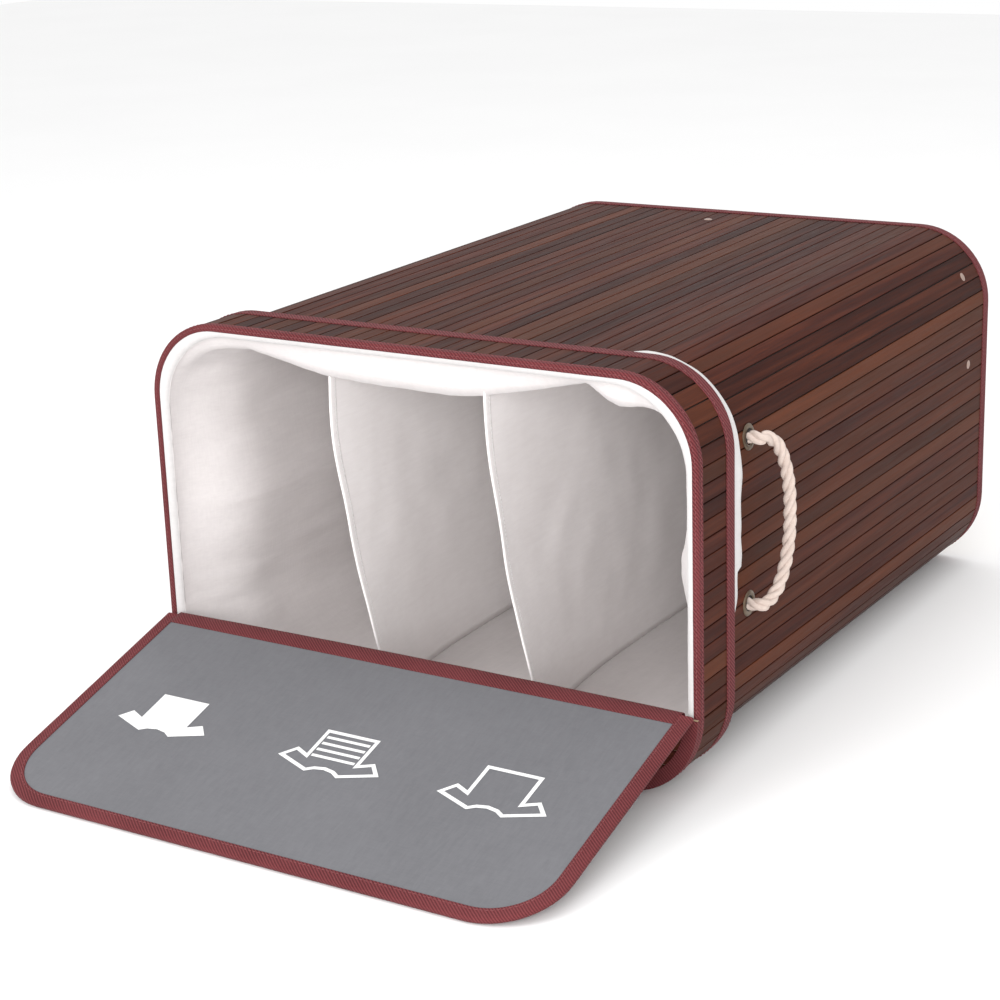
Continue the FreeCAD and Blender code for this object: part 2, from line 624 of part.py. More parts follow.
# The flap is drawn closed about its hinge line and placed open.
FW, FL, FR = S["flap_width"], S["flap_len"], S["flap_radius"]
near, far = GAP, FL
y_in = -(S["hinge_y"] + GAP)                 # inner face of the closed flap, from the hinge line
y_lin = y_in - PB
layer("flap_lining", y_lin - PL, PL, FW - PB * 2, FR - PB, far - PB, near, OPEN)
layer("flap_board", y_lin - PL - PC, PC, FW - PB * 2, FR - PB, far - PB, near, OPEN)
o = outline_solid((FW - PB * 2).v - 0.04, (FR - PB).v, (far - PB).v - 0.02, near.v, (y_lin - PL - PC - PS).v, PS.v)
group("flap_slats", panel_slats(o, near.v, (far - PB).v, 17, (y_lin - PL - PC - PS).v, PS.v), OPEN)
b = body("flap_binding", OPEN)
s = sketch(b, "flap_outer", "XZ_Plane", -y_in)
apron(s, FW, FR, far, near, "outer")
pad(b, s, PL + PC + PS + PB * 2)
s = sketch(b, "flap_seat", "XZ_Plane", -(y_lin - PL - PC - PS))
apron(s, FW - PB * 2, FR - PB, far - PB, ZERO, "seat")
pad(b, s, PL + PC + PS, cut=True)
s = sketch(b, "flap_open", "XZ_Plane", -(y_lin - PL - PC - PS - PB))
apron(s, FW - PW * 2, FR - PW, far - PW, ZERO, "open")
pad(b, s, PL + PC + PS + PB * 2, cut=True)
b = body("flap_hinge_tape", OPEN)
s = sketch(b, "flap_tape_s", "XZ_Plane", -y_in)
apron(s, FW - PW * 2 - 0.2, Size.of(0.5), near + PW, near, "tape")
pad(b, s, PB)

doc.recompute()

bad = 0
lo, hi = 1e9, -1e9
for o in doc.Objects:
    st_ = " ".join(o.State)
    if "Invalid" in st_ or "Error" in st_:
        print("BAD STATE", o.Name, st_)
        bad += 1
for nm, o in N.items():
    sh = o.Shape
    if sh.isNull() or not sh.isValid() or not sh.Solids:
        print("BAD SHAPE", nm, sh.isNull(), (not sh.isNull()) and sh.isValid())
        bad += 1
        continue
    bb = sh.BoundBox
    if not nm.startswith("rope_"):
        lo, hi = min(lo, bb.YMin), max(hi, bb.YMax)
    print("%-24s solids %3d vol %10.1f  x %8.2f %8.2f  y %8.2f %8.2f  z %8.2f %8.2f" % (
        nm, len(sh.Solids), sh.Volume, bb.XMin, bb.XMax, bb.YMin, bb.YMax, bb.ZMin, bb.ZMax))
print("Y range", lo, hi, "mid", (lo + hi) / 2)
if bad:
    raise RuntimeError("%d bad objects" % bad)
for nm, o in N.items():
    o.Shape.exportStep("parts/%s.step" % nm)
print("wrote", len(N))
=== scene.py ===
import bpy, math, json
import numpy as np
from mathutils import Vector, Matrix, noise


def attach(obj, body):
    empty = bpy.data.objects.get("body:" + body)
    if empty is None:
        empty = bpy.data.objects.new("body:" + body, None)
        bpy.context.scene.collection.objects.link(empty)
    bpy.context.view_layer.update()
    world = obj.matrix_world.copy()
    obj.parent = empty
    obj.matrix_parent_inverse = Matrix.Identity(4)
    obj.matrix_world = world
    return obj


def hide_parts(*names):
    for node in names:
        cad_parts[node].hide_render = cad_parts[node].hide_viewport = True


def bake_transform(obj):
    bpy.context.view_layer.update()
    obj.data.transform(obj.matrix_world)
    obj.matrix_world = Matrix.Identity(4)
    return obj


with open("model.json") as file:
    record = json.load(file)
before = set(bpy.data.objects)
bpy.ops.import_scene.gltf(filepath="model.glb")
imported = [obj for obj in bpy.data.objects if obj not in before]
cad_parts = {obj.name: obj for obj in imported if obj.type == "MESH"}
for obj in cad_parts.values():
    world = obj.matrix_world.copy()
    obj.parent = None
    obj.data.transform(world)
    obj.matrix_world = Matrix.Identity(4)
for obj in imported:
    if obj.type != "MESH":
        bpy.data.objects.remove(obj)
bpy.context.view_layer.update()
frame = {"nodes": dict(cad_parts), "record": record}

RNG = np.random.default_rng(11)
SY = 201.34          # the frame's shift along Y, millimetres
ZC = 172.0

# ------------------------------------------------------------------ camera
cam_data = bpy.data.cameras.new("camera")
cam_data.sensor_width = 36.0
cam_data.lens = 2235.7287 / 1000.0 * 36.0
cam_data.clip_start = 0.05
cam_data.clip_end = 50
cam_data.shift_x = 0.0
cam_data.shift_y = 0.0
cam = bpy.data.objects.new("camera", cam_data)
bpy.context.scene.collection.objects.link(cam)
R = [[0.85095505, 0.52424614, -0.03227211], [-0.12993408, 0.26964548, 0.95415326], [0.50891319, -0.80774829, 0.29757362]]
POS = (0.9962024454, -1.4416965667 - SY / 1000.0, 0.7583194222)
M = Matrix.Identity(4)
for i in range(3):
    for j in range(3):
        M[i][j] = R[j][i]
    M[i][3] = POS[i]
cam.matrix_world = M
bpy.context.scene.camera = cam

# ------------------------------------------------------------------ helpers


def P(x, y, z):
    return (x / 1000.0, (y - SY) / 1000.0, z / 1000.0)


PHI = math.radians(106.195)
CP, SP = math.cos(PHI), math.sin(PHI)


def F(x, s, n):
    """A point of the open flap: s from the hinge line, n the height from its outer face."""
    return P(x, -5.4 + n * CP - s * SP, 71.5 + n * SP + s * CP)


def mesh(name, verts, faces, mat=None, smooth=False, body=None, attrs=None):
    me = bpy.data.meshes.new(name)
    me.from_pydata([tuple(v) for v in verts], [], [tuple(f) for f in faces])
    me.validate()
    me.update()
    if smooth:
        for p in me.polygons:
            p.use_smooth = True
    ob = bpy.data.objects.new(name, me)
    bpy.context.scene.collection.objects.link(ob)
    if mat:
        me.materials.append(mat)
    for k, vals in (attrs or {}).items():
        a = me.attributes.new(k, "FLOAT_COLOR", "POINT")
        a.data.foreach_set("color", np.array(vals, np.float32).reshape(-1))
    if body:
        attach(ob, body)
    return ob


def grid_faces(nu, nv, close_u=False, close_v=False, base=0, flip=False):
    out = []
    for i in range(nu if close_u else nu - 1):
        for j in range(nv if close_v else nv - 1):
            a = base + i * nv + j
            b = base + ((i + 1) % nu) * nv + j
            c = base + ((i + 1) % nu) * nv + (j + 1) % nv
            d = base + i * nv + (j + 1) % nv
            out.append((a, d, c, b) if flip else (a, b, c, d))
    return out


def rr_path(W, D, r, n_arc=14, n_flat=40):
    """Stations round a rounded rectangle: point and outward normal (x, z), counter-clockwise from -Y."""
    w, d = W / 2, D / 2
    st = []

    def arc(cx, cz, a0):
        for i in range(n_arc + 1):
            a = a0 + math.pi / 2 * i / n_arc
            st.append((cx + r * math.cos(a), cz + r * math.sin(a), math.cos(a), math.sin(a)))

    def flat(x0, z0, x1, z1, nx, nz, n):
        for i in range(1, n):
            t = i / n
            st.append((x0 + (x1 - x0) * t, z0 + (z1 - z0) * t, nx, nz))

    arc(w - r, ZC + d - r, 0)
    flat(w - r, ZC + d, -w + r, ZC + d, 0, 1, n_flat)
    arc(-w + r, ZC + d - r, math.pi / 2)
    flat(-w, ZC + d - r, -w, ZC - d + r, -1, 0, n_flat // 2)
    arc(-w + r, ZC - d + r, math.pi)
    flat(-w + r, ZC - d, w - r, ZC - d, 0, -1, n_flat)
    arc(w - r, ZC - d + r, 1.5 * math.pi)
    flat(w, ZC - d + r, w, ZC + d - r, 1, 0, n_flat // 2)
    return st


# ------------------------------------------------------------------ materials
def nt_new(name):
    m = bpy.data.materials.new(name)
    m.use_nodes = True
    nt = m.node_tree
    bsdf = nt.nodes["Principled BSDF"]
    return m, nt, bsdf


def node(nt, kind, **inputs):
    n = nt.nodes.new(kind)
    for k, v in inputs.items():
        if k in n.inputs:
            n.inputs[k].default_value = v
        else:
            setattr(n, k, v)
    return n


def ramp(nt, fac, stops):
    r = nt.nodes.new("ShaderNodeValToRGB")
    el = r.color_ramp.elements
    while len(el) < len(stops):
        el.new(0.5)
    for e, (p, c) in zip(el, stops):
        e.position = p
        e.color = (c[0], c[1], c[2], 1)
    nt.links.new(fac, r.inputs["Fac"])
    return r.outputs["Color"]


def coords(nt, scale, rot=(0, 0, 0)):
    tc = nt.nodes.new("ShaderNodeTexCoord")
    mp = nt.nodes.new("ShaderNodeMapping")
    mp.inputs["Scale"].default_value = scale
    mp.inputs["Rotation"].default_value = rot
    nt.links.new(tc.outputs["Object"], mp.inputs["Vector"])
    return mp.outputs["Vector"]


def tex_noise(nt, vec, scale, detail=3.0, rough=0.55):
    n = nt.nodes.new("ShaderNodeTexNoise")
    n.inputs["Scale"].default_value = scale
    n.inputs["Detail"].default_value = detail
    n.inputs["Roughness"].default_value = rough
    nt.links.new(vec, n.inputs["Vector"])
    return n.outputs["Fac"]


def tex_wave(nt, vec, scale, direction="X", dist=0.0, profile="SIN"):
    n = nt.nodes.new("ShaderNodeTexWave")
    n.wave_type = "BANDS"
    n.bands_direction = direction
    n.wave_profile = profile
    n.inputs["Scale"].default_value = scale
    n.inputs["Distortion"].default_value = dist
    n.inputs["Detail"].default_value = 1.0
    nt.links.new(vec, n.inputs["Vector"])
    return n.outputs["Fac"]


def math_(nt, op, a, b=0.5):
    n = nt.nodes.new("ShaderNodeMath")
    n.operation = op
    for i, v in enumerate((a, b)):
        if isinstance(v, (int, float)):
            n.inputs[i].default_value = v
        else:
            nt.links.new(v, n.inputs[i])
    return n.outputs[0]


def mix_rgb(nt, fac, a, b, mode="MIX"):
    n = nt.nodes.new("ShaderNodeMix")
    n.data_type = "RGBA"
    n.blend_type = mode
    for sock, v in ((n.inputs[0], fac), (n.inputs[6], a), (n.inputs[7], b)):
        if isinstance(v, (int, float)):
            sock.default_value = v
        elif isinstance(v, (tuple, list)):
            sock.default_value = (v[0], v[1], v[2], 1)
        else:
            nt.links.new(v, sock)
    return n.outputs[2]


def bump(nt, bsdf, height, strength, dist):
    b = nt.nodes.new("ShaderNodeBump")
    b.inputs["Strength"].default_value = strength
    b.inputs["Distance"].default_value = dist
    nt.links.new(height, b.inputs["Height"])
    nt.links.new(b.outputs["Normal"], bsdf.inputs["Normal"])


def slat_material(name, scale, toned=True):
    m, nt, bsdf = nt_new(name)
    vec = coords(nt, scale)
    if toned:
        at = nt.nodes.new("ShaderNodeAttribute")
        at.attribute_name = "tone"
        sep = nt.nodes.new("ShaderNodeSeparateColor")
        nt.links.new(at.outputs["Color"], sep.inputs["Color"])
        tone, hue, off = sep.outputs[0], sep.outputs[1], sep.outputs[2]
        add = nt.nodes.new("ShaderNodeVectorMath")
        add.operation = "ADD"
        comb = nt.nodes.new("ShaderNodeCombineXYZ")
        k = math_(nt, "MULTIPLY", off, 37.0)
        nt.links.new(k, comb.inputs[0])
        nt.links.new(k, comb.inputs[2])
        nt.links.new(vec, add.inputs[0])
        nt.links.new(comb.outputs[0], add.inputs[1])
        vec = add.outputs[0]
    g = tex_noise(nt, vec, 1.0, 6.0, 0.62)
    fine = tex_noise(nt, vec, 4.3, 4.0, 0.6)
    grain = math_(nt, "ADD", math_(nt, "MULTIPLY", g, 0.65), math_(nt, "MULTIPLY", fine, 0.35))
    base = ramp(nt, grain, [(0.30, (0.024, 0.0056, 0.0035)), (0.47, (0.050, 0.0122, 0.0074)),
                            (0.60, (0.081, 0.0215, 0.0116)), (0.76, (0.130, 0.039, 0.0185))])
    if toned:
        warm = mix_rgb(nt, math_(nt, "MULTIPLY", hue, 0.6), base, (0.138, 0.046, 0.017))
        dark = mix_rgb(nt, math_(nt, "MULTIPLY", tone, 1.0), (0.42, 0.38, 0.38), (1.25, 1.2, 1.2))
        base = mix_rgb(nt, 1.0, warm, dark, "MULTIPLY")
    nt.links.new(base, bsdf.inputs["Base Color"])
    rg = ramp(nt, fine, [(0.3, (0.40, 0.40, 0.40)), (0.7, (0.56, 0.56, 0.56))])
    nt.links.new(rg, bsdf.inputs["Roughness"])
    bsdf.inputs["Specular IOR Level"].default_value = 0.05
    bump(nt, bsdf, grain, 0.35, 0.0006)
    return m


def cloth_material(name, col_a, col_b, pitch=0.0011, axes=("X", "Z"), strength=0.35, rough=0.92, blotch=9.0, sheen=0.15):
    m, nt, bsdf = nt_new(name)
    vec = coords(nt, (1, 1, 1))
    sc = 0.85 / pitch
    ax = {"X": (sc, sc * 0.13, sc * 0.13), "Y": (sc * 0.13, sc, sc * 0.13), "Z": (sc * 0.13, sc * 0.13, sc)}
    w1 = tex_noise(nt, coords(nt, ax[axes[0]]), 1.0, 1.5)
    w2 = tex_noise(nt, coords(nt, ax[axes[1]]), 1.0, 1.5)
    weave = math_(nt, "MULTIPLY", math_(nt, "ADD", w1, w2), 0.5)
    big = tex_noise(nt, vec, blotch, 4.0)
    slub = tex_noise(nt, coords(nt, (260, 30, 260)), 1.0, 3.0)
    fac = math_(nt, "ADD", math_(nt, "MULTIPLY", weave, 0.35),
                math_(nt, "ADD", math_(nt, "MULTIPLY", big, 0.35), math_(nt, "MULTIPLY", slub, 0.3)))
    col = ramp(nt, fac, [(0.25, col_a), (0.75, col_b)])
    nt.links.new(col, bsdf.inputs["Base Color"])
    rr = ramp(nt, slub, [(0.2, (rough - 0.06,) * 3), (0.8, (min(1.0, rough + 0.05),) * 3)])
    nt.links.new(rr, bsdf.inputs["Roughness"])
    bsdf.inputs["Specular IOR Level"].default_value = 0.15
    bsdf.inputs["Sheen Weight"].default_value = sheen
    bump(nt, bsdf, math_(nt, "ADD", weave, math_(nt, "MULTIPLY", slub, 0.8)), strength, 0.0004)
    return m


def twill_material(name, col_a, col_b):
    m, nt, bsdf = nt_new(name)
    vec = coords(nt, (1, 1, 1), (0.0, 0.0, 0.0))
    w = tex_wave(nt, vec, 190.0, "DIAGONAL", 0.5)
    fine = tex_noise(nt, vec, 900.0, 2.0)
    big = tex_noise(nt, vec, 14.0, 4.0)
    fac = math_(nt, "ADD", math_(nt, "MULTIPLY", w, 0.4),
                math_(nt, "ADD", math_(nt, "MULTIPLY", fine, 0.3), math_(nt, "MULTIPLY", big, 0.3)))
    nt.links.new(ramp(nt, fac, [(0.25, col_a), (0.78, col_b)]), bsdf.inputs["Base Color"])
    rr = ramp(nt, fine, [(0.2, (0.78,) * 3), (0.8, (0.95,) * 3)])
    nt.links.new(rr, bsdf.inputs["Roughness"])
    bsdf.inputs["Specular IOR Level"].default_value = 0.1
    bsdf.inputs["Sheen Weight"].default_value = 0.04
    bump(nt, bsdf, math_(nt, "ADD", w, fine), 0.5, 0.0005)
    return m


def metal_material(name, col_a, col_b, ra=0.28, rb=0.5, metallic=1.0):
    m, nt, bsdf = nt_new(name)
    vec = coords(nt, (1, 1, 1))
    n = tex_noise(nt, vec, 420.0, 4.0)
    b = tex_noise(nt, vec, 60.0, 4.0)
    nt.links.new(ramp(nt, b, [(0.3, col_a), (0.7, col_b)]), bsdf.inputs["Base Color"])
    nt.links.new(ramp(nt, n, [(0.3, (ra,) * 3), (0.7, (rb,) * 3)]), bsdf.inputs["Roughness"])
    bsdf.inputs["Metallic"].default_value = metallic
    bump(nt, bsdf, n, 0.15, 0.0002)
    return m


def plain_material(name, col_a, col_b, rough=0.8, scale=(60, 60, 60), strength=0.25):
    m, nt, bsdf = nt_new(name)
    vec = coords(nt, scale)
    n = tex_noise(nt, vec, 1.0, 5.0)
    nt.links.new(ramp(nt, n, [(0.3, col_a), (0.7, col_b)]), bsdf.inputs["Base Color"])
    nt.links.new(ramp(nt, n, [(0.3, (rough - 0.08,) * 3), (0.7, (rough + 0.06,) * 3)]), bsdf.inputs["Roughness"])
    bump(nt, bsdf, n, strength, 0.0004)
    return m


MAT = {
    "slats": slat_material("slats", (170.0, 5.0, 170.0)),
    "slats_x": slat_material("slats_x", (5.0, 170.0, 170.0)),
    "slats_cad": slat_material("slats_cad", (5.0, 170.0, 170.0), toned=False),
    "binding": twill_material("binding", (0.066, 0.013, 0.015), (0.190, 0.046, 0.050)),
    "backing": cloth_material("backing", (0.018, 0.010, 0.009), (0.045, 0.028, 0.024), strength=0.3),
    "stiffener": plain_material("stiffener", (0.36, 0.28, 0.20), (0.46, 0.37, 0.27), 0.85),
    "hoop": metal_material("hoop", (0.46, 0.46, 0.47), (0.60, 0.60, 0.61)),
    "board": plain_material("board", (0.34, 0.23, 0.13), (0.48, 0.35, 0.22), 0.75, (150, 8, 150)),
    "rivets": metal_material("rivets", (0.34, 0.24, 0.20), (0.50, 0.38, 0.33), 0.3, 0.5),
    "eyelets": metal_material("eyelets", (0.10, 0.075, 0.052), (0.21, 0.16, 0.115), 0.25, 0.45),
    "rope": cloth_material("rope", (0.47, 0.37, 0.32), (0.70, 0.59, 0.53), 0.0006, ("Y", "Z"), 0.5, 0.95, 60.0),
    "liner": cloth_material("liner", (0.84, 0.795, 0.785), (0.95, 0.915, 0.905), 0.0012, ("X", "Z"), 0.35, 0.95, 7.0),
    # painted shade: the cuff is the same white liner cloth as the dividers, coloured darker to hold back the stronger
    # light on the rim
    "cuff": cloth_material("cuff", (0.54, 0.52, 0.515), (0.66, 0.64, 0.635), 0.0012, ("X", "Z"), 0.35, 0.95, 7.0),
    # painted shade: the bag's walls are the same liner cloth as the dividers, coloured darker for the shade inside the
    # bag
    "liner_side": cloth_material("liner_side", (0.62, 0.58, 0.575), (0.75, 0.71, 0.70), 0.0012, ("Y", "Z"), 0.35, 0.95, 7.0),
    "lining": cloth_material("lining", (0.112, 0.112, 0.121), (0.160, 0.160, 0.172), 0.0012, ("X", "Y"), 0.4, 0.9, 10.0),
    "print": plain_material("print", (0.70, 0.70, 0.70), (0.82, 0.82, 0.82), 0.7, (900, 900, 900), 0.3),
    "thread": plain_material("thread", (0.16, 0.045, 0.047), (0.24, 0.075, 0.078), 0.85, (900, 900, 900), 0.3),
    "thread_white": plain_material("thread_white", (0.72, 0.71, 0.70), (0.86, 0.85, 0.84), 0.9, (900, 900, 900), 0.3),
    "dark": plain_material("dark", (0.010, 0.008, 0.007), (0.020, 0.015, 0.013), 0.9, (200, 200, 200), 0.2),
}
SLOT = {s["node"]: s["material_slot"] for s in frame["record"]["subparts"]}
for n, ob in frame["nodes"].items():
    m = MAT["slats_cad"] if SLOT[n] == "slats" else MAT[SLOT[n]]
    ob.data.materials.clear()
    ob.data.materials.append(m)

# ------------------------------------------------------------------ slats
TAPER = (656.5 - 6.0)


def sec(y, off=0.0):
    t = (y - 6.0) / TAPER
    return 514.0 - 6.0 * t + 2 * off, 330.0 + 12.4 * t + 2 * off, 72.0 + off


def prof(wd, th, outer=0.22):
    """Slat cross-section: (tangent, depth) with eased outer edges and a flat face."""
    h = wd / 2
    return [(-h, th), (-h, 0.45), (-h + 0.25, 0.12), (-h + 0.8, 0.0), (-h * 0.4, -0.0), (h * 0.4, -0.0),
            (h - 0.8, 0.0), (h - 0.25, 0.12), (h, 0.45), (h, th)]


def slat_set(name, cuts_of, y0, y1, body, nodes, n_y=10, wobble=0.12):
    """cuts_of(y) lists each slat's (x, z, tangent x, z, outward x, z, width) at that y."""
    A = [cuts_of(y0 + (y1 - y0) * k / (n_y - 1)) for k in range(n_y)]
    verts, faces, tones = [], [], []
    for i in range(len(A[0])):
        base = len(verts)
        warm = float(RNG.random() ** 3.2)
        if RNG.random() < 0.10:
            warm = 0.55 + 0.45 * float(RNG.random())
        t = (float(0.12 + 0.62 * RNG.random()), warm * 0.8, float(RNG.random()), 1.0)
        ph, ph2 = RNG.random(2) * 6.28
        q = 0
        for k in range(n_y):
            x, z, tx, tz, ox, oz, wd = A[k][i]
            y = y0 + (y1 - y0) * k / (n_y - 1)
            e = 0.0 if k in (0, n_y - 1) else wobble * math.sin(ph + k * 1.1)
            pr = prof(wd, 2.0)
            q = len(pr)
            for a, d in pr:
                verts.append(P(x + tx * (a + e) - ox * d, y, z + tz * (a + e) - oz * d))
                tones.append(t)
        for k in range(n_y - 1):
            for j in range(q):
                a = base + k * q + j
                b = base + k * q + (j + 1) % q
                faces.append((a, b, b + q, a + q))
        faces.append(tuple(base + j for j in range(q)))
        faces.append(tuple(base + (n_y - 1) * q + j for j in reversed(range(q))))
    ob = mesh(name, verts, faces, MAT["slats"], False, None, {"tone": tones})
    import bmesh
    bm = bmesh.new()
    bm.from_mesh(ob.data)
    bmesh.ops.recalc_face_normals(bm, faces=bm.faces)
    bm.to_mesh(ob.data)
    bm.free()
    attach(ob, body)
    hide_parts(*nodes)
    return ob


def cuts_flat(section, n, side, gap=1.0):
    def f(y):
        W, D, r = section(y)
        w, d = W / 2, D / 2
        out = []
        L = (2 * w - 2 * r) if side in ("front", "back") else (2 * d - 2 * r)
        for i in range(n):
            c = -L / 2 + L * (i + 0.5) / n
            wd = L / n - gap
            if side == "front":
                out.append((c, ZC + d, 1, 0, 0, 1, wd))
            elif side == "back":
                out.append((c, ZC - d, 1, 0, 0, -1, wd))
            elif side == "right":
                out.append((w, ZC + c, 0, 1, 1, 0, wd))
            else:
                out.append((-w, ZC + c, 0, 1, -1, 0, wd))
        return out
    return f


def cuts_corner(section, n, gap=1.0):
    def f(y):
        W, D, r = section(y)
        w, d = W / 2, D / 2
        out = []
        p = math.pi / 2 / n
        for sx in (1, -1):
            for sz in (1, -1):
                for i in range(n):
                    a = p * (i + 0.5)
                    ux, uz = sx * math.cos(a), sz * math.sin(a)
                    out.append((sx * (w - r) + ux * r, ZC + sz * (d - r) + uz * r, -uz * 1.0, ux * 1.0, ux, uz,
                                2 * (r - 1.2) * math.tan(p / 2) - gap))
        return out
    return f


for side, n in (("front", 25), ("back", 25), ("left", 13), ("right", 13)):
    slat_set("slats_wall_" + side, cuts_flat(sec, n, side), 6.0, 655.7, "body", ["wall_slats_" + side])
slat_set("slats_wall_corners", cuts_corner(sec, 8), 6.0, 655.7, "body", ["wall_slats_corners"])


def lsec(y):
    return 528.4, 342.4, 69.2


for side, n in (("front", 26), ("back", 26), ("left", 14), ("right", 14)):
    slat_set("slats_lid_" + side, cuts_flat(lsec, n, side), 0.8, 62.0, "lid", ["lid_slats_" + side], 3)
slat_set("slats_lid_corners", cuts_corner(lsec, 7), 0.8, 62.0, "lid", ["lid_slats_corners"], 3)


# ------------------------------------------------------------------ sweeps for bindings
def sweep_ring(name, st, profile, mat, body, nodes, wob=0.12):
    """profile: closed list of (inward, y); wob gives the tape its slight unevenness."""
    verts = []
    q = len(profile)
    for i, (x, z, nx, nz) in enumerate(st):
        for j, (a, y) in enumerate(profile):
            e = wob * noise.noise(Vector((x * 0.05, z * 0.05, j * 0.37)))
            verts.append(P(x - nx * (a + abs(e)), y + e, z - nz * (a + abs(e))))
    ob = mesh(name, verts, grid_faces(len(st), q, True, True, flip=True), mat, True)
    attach(ob, body)
    if nodes:
        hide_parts(*nodes)
    return ob


st_band = rr_path(530.0, 344.0, 70.0, 18, 60)
front_prof = [(6.0, 0.9), (5.6, 0.25), (4.4, 0.0), (2.8, 0.18), (1.0, 0.02), (0.25, 0.4), (0.0, 1.2), (0.05, 3.0), (0.32, 4.3), (0.05, 5.6),
              (0.05, 7.5), (0.3, 8.15), (0.8, 8.2), (0.85, 4.0), (1.0, 0.95), (3.0, 0.85)]
sweep_ring("band_front_tape", st_band, front_prof, MAT["binding"], "lid", ["lid_front_binding"])
rear_prof = [(4.3, 62.0), (3.8, 62.6), (2.2, 62.8), (0.7, 62.7), (0.1, 62.2), (0.0, 61.0), (0.05, 57.0), (0.0, 53.0), (0.28, 51.3),
             (0.05, 50.2), (0.1, 49.2), (0.4, 48.8), (0.8, 48.85), (0.85, 55.0), (0.85, 61.9), (2.0, 62.0)]
sweep_ring("band_rear_tape", st_band, rear_prof, MAT["binding"], "lid", ["lid_rear_binding"])


def stitches(name, pts, mat, body, ln=2.6, gap=1.7, r=0.28):
    """Stitches as short raised threads along a polyline of points with normals (metres)."""
    verts, faces = [], []
    acc, k = 0.0, 0
    P0 = [Vector(p) for p, _ in pts]
    Nn = [Vector(n) for _, n in pts]
    seg = [(P0[i + 1] - P0[i]).length for i in range(len(P0) - 1)]
    tot = sum(seg)
    cum = np.concatenate([[0], np.cumsum(seg)])

    def at(s):
        i = int(min(len(seg) - 1, max(0, np.searchsorted(cum, s) - 1)))
        f = (s - cum[i]) / max(seg[i], 1e-9)
        return P0[i].lerp(P0[i + 1], f), Nn[i].lerp(Nn[i + 1], f).normalized(), (P0[i + 1] - P0[i]).normalized()

    ln, gap, r = ln / 1000, gap / 1000, r / 1000
    s = gap
    while s + ln < tot:
        base = len(verts)
        for f, lift in ((0.0, -0.4), (0.25, 0.5), (0.75, 0.5), (1.0, -0.4)):
            p, n, t = at(s + ln * f)
            side = t.cross(n).normalized()
            for a in range(5):
                an = 2 * math.pi * a / 5
                verts.append(p + n * (lift * r + math.sin(an) * r) + side * (math.cos(an) * r))
        for j in range(3):
            for a in range(5):
                faces.append((base + j * 5 + a, base + j * 5 + (a + 1) % 5, base + (j + 1) * 5 + (a + 1) % 5, base + (j + 1) * 5 + a))
        s += ln + gap
    return mesh(name, verts, faces, mat, True, body)


def ring_line(st, a, y):
    return [(P(x - nx * a, y, z - nz * a), (nx, 0, nz)) for x, z, nx, nz in st + st[:1]]


stitches("stitch_band_front", ring_line(st_band, 0.05, 4.3), MAT["thread"], "lid")
stitches("stitch_band_rear", ring_line(st_band, 0.05, 51.3), MAT["thread"], "lid")
stitches("stitch_band_lip", [(P(x - nx * 2.8, -0.02 + 0.15, z - nz * 2.8), (0, -1, 0)) for x, z, nx, nz in st_band + st_band[:1]],
         MAT["thread"], "lid")

W, D, r_ = sec(656.5, 0.8)
st_base = rr_path(W, D, r_, 18, 60)
base_prof = [(0.8, 642.5), (0.35, 642.55), (0.05, 643.3), (0.05, 645.0), (0.3, 646.2), (0.05, 647.4), (0.0, 651.0), (0.0, 654.6), (0.35, 656.1),
             (1.4, 656.5), (3.2, 656.5), (4.2, 656.0), (4.4, 654.8), (4.4, 643.0), (3.7, 642.6), (3.65, 650.0), (3.6, 655.6), (0.85, 655.6), (0.85, 650.0)]
sweep_ring("base_tape", st_base, base_prof, MAT["binding"], "body", ["base_binding"], 0.06)
stitches("stitch_base", ring_line(st_base, 0.12, 646.2), MAT["thread"], "body")

# ------------------------------------------------------------------ flap
FW, FL, FR = 525.5, 257.3, 60.0


def flap_path(n_arc=16, n_side=24, n_top=50):
    w = FW / 2
    st = []
    for i in range(n_side):
        st.append((w, 0.35 + (FL - FR - 0.35) * i / n_side, 1, 0))
    for i in range(n_arc + 1):
        a = math.pi / 2 * i / n_arc
        st.append((w - FR + FR * math.cos(a), FL - FR + FR * math.sin(a), math.cos(a), math.sin(a)))
    for i in range(1, n_top):
        st.append((w - FR - (FW - 2 * FR) * i / n_top, FL, 0, 1))
    for i in range(n_arc + 1):
        a = math.pi / 2 + math.pi / 2 * i / n_arc
        st.append((-w + FR + FR * math.cos(a), FL - FR + FR * math.sin(a), math.cos(a), math.sin(a)))
    for i in range(1, n_side + 1):
        st.append((-w, FL - FR - (FL - FR - 0.35) * i / n_side, -1, 0))
    return st


fp = flap_path()
fprof = [(12.0, 4.6), (12.0, 4.95), (11.4, 5.1), (9.6, 5.0), (5.0, 5.1), (1.6, 5.08), (0.45, 4.75), (0.02, 4.1), (0.0, 2.7), (0.02, 1.3),
         (0.45, 0.65), (1.6, 0.32), (6.0, 0.3), (9.6, 0.42), (11.4, 0.32), (12.0, 0.45), (12.0, 0.8), (6.0, 0.85), (0.8, 0.85), (0.8, 4.5), (6.0, 4.55)]
verts = []
for x, s, nx, ns in fp:
    for j, (a, n) in enumerate(fprof):
        e = 0.10 * noise.noise(Vector((x * 0.04, s * 0.04, j * 0.4)))
        verts.append(F(x - nx * (a + abs(e)), s - ns * (a + abs(e)), n - (abs(e) if n > 4 else 0)))
q = len(fprof)
faces = grid_faces(len(fp), q, False, True)
faces.append(tuple(reversed(range(q))))
faces.append(tuple((len(fp) - 1) * q + j for j in range(q)))
ob = mesh("flap_edge_tape", verts, faces, MAT["binding"], True, "flap")
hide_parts("flap_binding")
up = Vector(F(0, 0, 1)) - Vector(F(0, 0, 0))
up.normalize()
stitches("stitch_flap", [(F(x - nx * 9.6, s - ns * 9.6, 4.98), tuple(up)) for x, s, nx, ns in fp], MAT["thread"], "flap")
stitches("stitch_flap_outer", [(F(x - nx * 9.6, s - ns * 9.6, 0.44), tuple(-up)) for x, s, nx, ns in fp], MAT["thread"], "flap")

